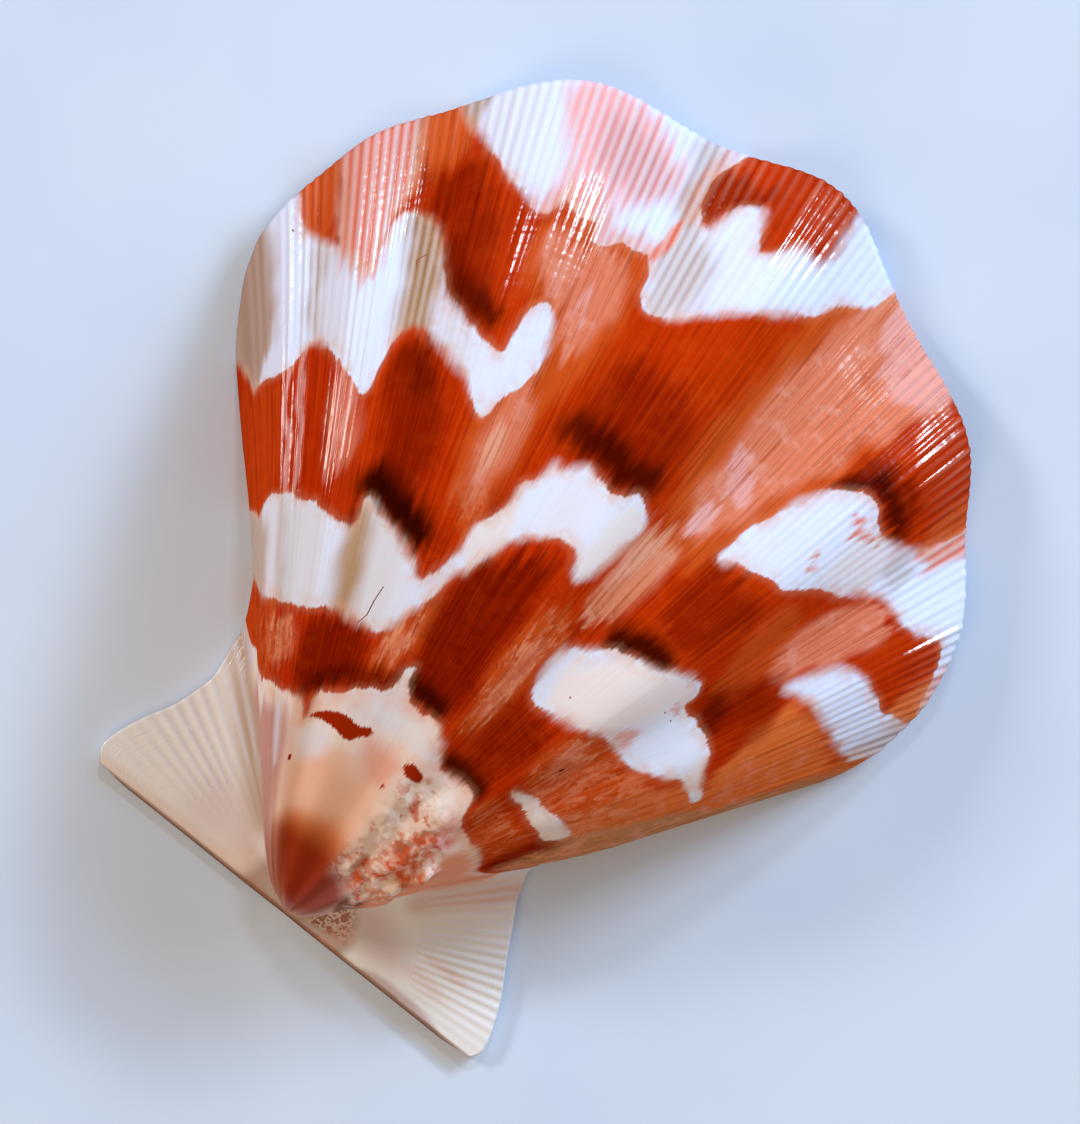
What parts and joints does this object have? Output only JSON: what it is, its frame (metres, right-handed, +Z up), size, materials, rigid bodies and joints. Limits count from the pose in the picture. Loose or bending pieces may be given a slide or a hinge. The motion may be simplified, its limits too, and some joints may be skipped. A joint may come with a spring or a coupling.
{
  "type": "scallop shell valve",
  "caption": "Small fan-shaped scallop shell, a single valve with broad radial folds, fine riblets and two ribbed ears, glossy orange-red with white patches.",
  "frame": {"origin": "middle of the shell's bounding box at its base, where it rests convex side up", "axes": "+X along the straight hinge line, +Y from the hinge to the opposite margin, +Z up through the domed outer side"},
  "size_m": [0.0382, 0.0428, 0.0103],
  "materials": {
    "shell": "glossy mottled outside, porcelain inside"
  },
  "bodies": {
    "root": {"valve": "shell"}
  },
  "joints": []
}
